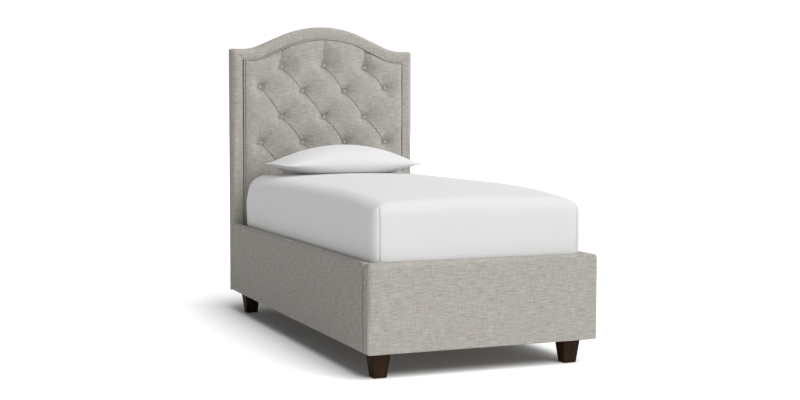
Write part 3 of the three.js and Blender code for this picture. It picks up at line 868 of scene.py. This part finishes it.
def fitted_sheet():
    """A fitted sheet pulled over the mattress, seamed down its corners, with its hem underneath."""
    grow, bottom = 0.0015, MAT_LOW[2] + 0.0008
    verts, faces, share, half, reach = mattress_form(grow, bottom, seams=True)
    verts = shape_mattress(verts, share, half, reach, grow)
    obj = make_object("sheet_fitted", verts, faces, COTTON)
    bm = bmesh.new()
    bm.from_mesh(obj.data)
    under = [f for f in bm.faces if f.normal.z < -0.9 and f.calc_center_median().z < bottom + 0.004
             and abs(f.calc_center_median().x) < half - 0.075
             and reach[0] + 0.075 < f.calc_center_median().y < reach[1] - 0.075]
    bmesh.ops.delete(bm, geom=under, context="FACES")
    bm.to_mesh(obj.data)
    bm.free()
    co = np.array([v.co for v in obj.data.vertices])
    # The corner seams: a fine valley down the end faces that fades out below the top.
    centre, length = (reach[0] + reach[1]) / 2, (reach[1] - reach[0]) / 2
    end = np.clip((abs(co[:, 1] - centre) - length + 0.030) / 0.012, 0, 1)
    low_part = np.clip((SEAM_TOP - co[:, 2]) / 0.02, 0, 1)
    beside = abs(co[:, 0]) - SHEET_SEAM
    valley = SEAM_DEPTH * np.exp(-(beside / SEAM_WIDTH) ** 2)
    co[:, 1] -= np.sign(co[:, 1]) * end * low_part * valley
    for v, p in zip(obj.data.vertices, co):
        v.co = p
    thick = obj.modifiers.new("thickness", "SOLIDIFY")
    thick.thickness, thick.offset = 0.0012, 1.0
    metric_uv(obj)
    place(obj, "mattress_body", "white_cotton", "fitted_sheet")
    return obj


PILLOW_SIZE = np.array([0.822, 0.436, 0.172])
PILLOW_LEVEL = 0.857  # height of the pillow's edges
PILLOW_ABOVE, PILLOW_BELOW = 0.108, 0.086  # its fullness over and under its edges
PILLOW_CLEARANCE, PILLOW_YIELD = 0.0032, 0.004  # how it lies on the mattress


def swell(obj, cap):
    """Lets a soft piece swell under its filling's pressure, moving no point further than cap."""
    start = np.array([v.co for v in obj.data.vertices])
    bpy.context.view_layer.objects.active = obj
    cloth = obj.modifiers.new("cloth", "CLOTH")
    cloth.settings.use_pressure = True
    cloth.settings.uniform_pressure_force = 4.0
    cloth.settings.mass = 0.25
    cloth.settings.tension_stiffness = cloth.settings.compression_stiffness = 25
    cloth.settings.shear_stiffness = 12
    cloth.settings.bending_stiffness = 6
    cloth.settings.effector_weights.gravity = 0.0
    cloth.settings.quality = 6
    cloth.collision_settings.use_collision = False
    cloth.point_cache.frame_start, cloth.point_cache.frame_end = 1, 20
    for frame_number in range(1, 21):
        bpy.context.scene.frame_set(frame_number)
    graph = bpy.context.evaluated_depsgraph_get()
    settled = np.array([v.co for v in obj.evaluated_get(graph).data.vertices])
    obj.modifiers.clear()
    bpy.context.scene.frame_set(1)
    move = settled - start
    reach = np.linalg.norm(move, axis=1)[:, None]
    for v, p in zip(obj.data.vertices, start + move * cap / (cap + reach)):
        v.co = p


def cased_pillow():
    """A filled pillow in its case: crowned, thin at its edges, and flat where it rests on the bed."""
    low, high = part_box("pillow")
    half_x, half_y = (high[0] - low[0]) / 2, (high[1] - low[1]) / 2
    cx, cy = (low[0] + high[0]) / 2, (low[1] + high[1]) / 2
    U, V = np.meshgrid(np.linspace(-1, 1, 93), np.linspace(-1, 1, 47), indexing="ij")
    full = np.clip(1 - U ** 2, 0, 1) ** 0.80 * np.clip(1 - V ** 2, 0, 1) ** 0.5
    # The long sides pull in between the corners, which are a little rounded.
    X = cx + half_x * U * (1 - 0.016 * V ** 6)
    Y = cy + half_y * V * (1 - 0.030 * (1 - U ** 2))
    index_top = np.arange(U.size).reshape(U.shape)
    rim = perimeter(index_top)
    level, swollen = 0.90, 0.075  # only the shape matters here; its size and place come below
    points = np.concatenate([np.stack([X, Y, level + side * swollen * full], axis=2).reshape(-1, 3)
                             for side in (1, -1)])
    shared = np.arange(2 * U.size)
    shared[rim + U.size] = rim
    used, compact = np.unique(shared, return_inverse=True)
    faces = [tuple(compact[list(f)]) for f in grid_faces(index_top) + grid_faces(index_top + U.size)]
    obj = make_object("pillow_cased", points[used], faces, COTTON)
    swell(obj, 0.010)
    co = np.array([v.co for v in obj.data.vertices])
    span = co.max(0) - co.min(0)
    mid = (co.max(0) + co.min(0)) / 2
    co = (co - mid) / span * PILLOW_SIZE
    co[:, 2] *= np.where(co[:, 2] > 0, PILLOW_ABOVE, PILLOW_BELOW) / (PILLOW_SIZE[2] / 2)
    co += [cx, cy, PILLOW_LEVEL]
    rest = mattress_top(co[:, 0], co[:, 1]) + PILLOW_CLEARANCE
    gap = co[:, 2] - rest
    pressed = PILLOW_YIELD * np.exp(np.minimum(gap / PILLOW_YIELD - 1, 0))
    co[:, 2] = rest + np.where(gap > PILLOW_YIELD, gap, pressed)
    for v, p in zip(obj.data.vertices, co):
        v.co = p
    sub = obj.modifiers.new("smooth", "SUBSURF")
    sub.levels = sub.render_levels = 1
    metric_uv(obj)
    place(obj, "pillow_body", "white_cotton", "pillow")
    return obj


def box_spring():
    """The box spring's quilted cover, with tight edges."""
    low, high = (Vector(c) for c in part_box("box_spring"))
    verts, faces, _ = soft_slab(low, high, 2, ((0.045, 0.045), (0.045, 0.045)),
                                0.006, 0.006, 0.03, 6.0, 8, walls=8)
    obj = make_object("box_spring_cover", verts, faces, TICKING)
    place(obj, "box_spring_body", "ticking", "box_spring")
    return obj


headboard_border()
tufted_centre()
headboard_welt()
tuft_buttons()
footboard()
for rail_name, rail_side in (("left", -1), ("right", 1)):
    side_rail(rail_name, rail_side)
for leg_name in ("front_left", "front_right", "rear_left", "rear_right"):
    tapered_leg(leg_name)
mattress()
sheet = fitted_sheet()
cased_pillow()
box_spring()

# ---------------------------------------------------------------- finishes of the carried-over nodes
FINISHES = {
    "headboard_panel": PLYWOOD, "headboard_back_cover": DUST_CLOTH,
    "footboard_core": SOFTWOOD, "head_crossbar": SOFTWOOD, "foot_crossbar": SOFTWOOD,
    "side_rail_left_core": SOFTWOOD_LONG, "side_rail_right_core": SOFTWOOD_LONG,
    "cleat_left": SOFTWOOD_LONG, "cleat_right": SOFTWOOD_LONG, "center_beam": SOFTWOOD_LONG,
    "center_leg_1": SOFTWOOD_POST, "center_leg_2": SOFTWOOD_POST,
    "head_bracket_left": STEEL, "head_bracket_right": STEEL,
    "leveling_foot_1": STEEL, "leveling_foot_2": STEEL,
}
for node_name, node in frame["nodes"].items():
    finish = FINISHES.get(node_name)
    if node_name.startswith("slat_") or node_name.startswith("corner_block"):
        finish = SOFTWOOD
    if node_name.startswith("leg_glide"):
        finish = PLASTIC
    if finish:
        node.data.materials.clear()
        node.data.materials.append(finish)
        if finish in (SOFTWOOD, SOFTWOOD_LONG, SOFTWOOD_POST):
            ease = node.modifiers.new("eased", "BEVEL")
            ease.width, ease.segments, ease.limit_method = 0.0015, 2, "ANGLE"


# ---------------------------------------------------------------- floor, light and camera
def studio():
    """A white floor and surroundings, with five soft suns that each light only some of the pieces."""
    scene = bpy.context.scene
    scene.view_settings.view_transform = "Standard"
    white = Graph("studio_floor", Roughness=1.0, Specular_IOR_Level=0.0)
    bounce = white.node("ShaderNodeBsdfDiffuse", {"Color": (0.27, 0.27, 0.27, 1)})
    white.shader.inputs["Base Color"].default_value = (0.40, 0.40, 0.40, 1)
    white.shader.inputs["Emission Color"].default_value = (1, 1, 1, 1)
    white.shader.inputs["Emission Strength"].default_value = 0.04
    seen = white.node("ShaderNodeLightPath").outputs["Is Camera Ray"]
    surface = white.node("ShaderNodeMixShader", {0: seen, 1: bounce.outputs[0], 2: white.shader.outputs[0]})
    white.feed(white.tree.nodes["Material Output"].inputs["Surface"], surface.outputs[0])
    floor = make_object("studio_floor", [(-60, -60, 0), (60, -60, 0), (60, 60, 0), (-60, 60, 0)],
                        [(0, 1, 2, 3)], white.material, smooth=False, cube_uv=False)

    world = bpy.data.worlds.new("studio")
    scene.world = world
    world.use_nodes = True
    tree = world.node_tree
    light = tree.nodes["Background"]
    light.inputs["Color"].default_value = (1, 1, 1, 1)
    backdrop = tree.nodes.new("ShaderNodeBackground")
    backdrop.inputs["Color"].default_value = (1, 1, 1, 1)
    backdrop.inputs["Strength"].default_value = 1.05
    mix = tree.nodes.new("ShaderNodeMixShader")
    path = tree.nodes.new("ShaderNodeLightPath")
    aim = tree.nodes.new("ShaderNodeTexCoord")
    split = tree.nodes.new("ShaderNodeSeparateXYZ")
    spread = tree.nodes.new("ShaderNodeMapRange")
    spread.interpolation_type = "SMOOTHSTEP"
    for key, value in zip(("From Min", "From Max", "To Min", "To Max"), (-0.85, 0.25, 0.12, 0.92)):
        spread.inputs[key].default_value = value
    tree.links.new(aim.outputs["Generated"], split.inputs[0])
    tree.links.new(split.outputs["X"], spread.inputs["Value"])
    tree.links.new(spread.outputs[0], light.inputs["Strength"])
    tree.links.new(path.outputs["Is Camera Ray"], mix.inputs[0])
    tree.links.new(light.outputs[0], mix.inputs[1])
    tree.links.new(backdrop.outputs[0], mix.inputs[2])
    tree.links.new(mix.outputs[0], tree.nodes["World Output"].inputs["Surface"])

    def linked(name, objects, state="INCLUDE"):
        group = bpy.data.collections.new(name)
        for number, obj in enumerate(objects):
            group.objects.link(obj)
            group.collection_objects[number].light_linking.link_state = state
        return group

    def sun(name, direction, strength, spread, lights=None, shadows=None):
        lamp = bpy.data.lights.new(name, "SUN")
        lamp.energy, lamp.angle = strength, math.radians(spread)
        obj = bpy.data.objects.new(name, lamp)
        scene.collection.objects.link(obj)
        obj.rotation_euler = Vector(direction).to_track_quat("Z", "Y").to_euler()
        obj.light_linking.receiver_collection = lights
        obj.light_linking.blocker_collection = shadows

    head = [obj for obj in scene.objects if obj.name.startswith(("headboard_", "covered_button"))]
    tufted = [obj for obj in head if "tufting" in obj.name or "button" in obj.name]
    beside_tufting = linked("beside_tufting", tufted, "EXCLUDE")
    beside_headboard = linked("beside_headboard", head, "EXCLUDE")
    sun("overhead_softbox", (0.75, -0.45, 1.0), 1.08, 40, beside_tufting)
    sun("front_fill", (0.40, -1.0, 0.60), 0.62, 50, beside_tufting)
    sun("tufting_light", (1.0, -0.85, 0.60), 1.42, 30, linked("tufting_only", tufted))
    bedding = [obj for obj in scene.objects
               if obj.name.startswith(("sheet_", "pillow_cased", "mattress_core"))]
    sun("bedding_fill", (-1.0, -0.50, 0.20), 0.66, 60, linked("bedding_only", bedding))
    sun("floor_light", (0.12, -0.84, 1.0), 8.6, 44, linked("floor_only", [floor]), beside_headboard)


EYE = (-2.4773, -6.1173, 1.1399)
YAW, PITCH_DOWN, ROLL = math.radians(22.443), math.radians(3.854), 0.001992
SENSOR, LENS = 36.0, 57.68


def camera():
    """The camera in front of the bed's left corner, looking slightly down."""
    ahead = math.cos(PITCH_DOWN)
    forward = Vector((math.sin(YAW) * ahead, math.cos(YAW) * ahead, -math.sin(PITCH_DOWN)))
    level = Vector((math.cos(YAW), -math.sin(YAW), 0))
    over = level.cross(forward)
    right = level * math.cos(ROLL) + over * math.sin(ROLL)
    up = over * math.cos(ROLL) - level * math.sin(ROLL)
    data = bpy.data.cameras.new("photo_view")
    data.sensor_width, data.lens = SENSOR, LENS
    obj = bpy.data.objects.new("photo_view", data)
    bpy.context.scene.collection.objects.link(obj)
    axes = Matrix((right, up, -forward)).transposed().to_4x4()
    obj.matrix_world = Matrix.Translation(EYE) @ axes
    bpy.context.scene.camera = obj


studio()
camera()
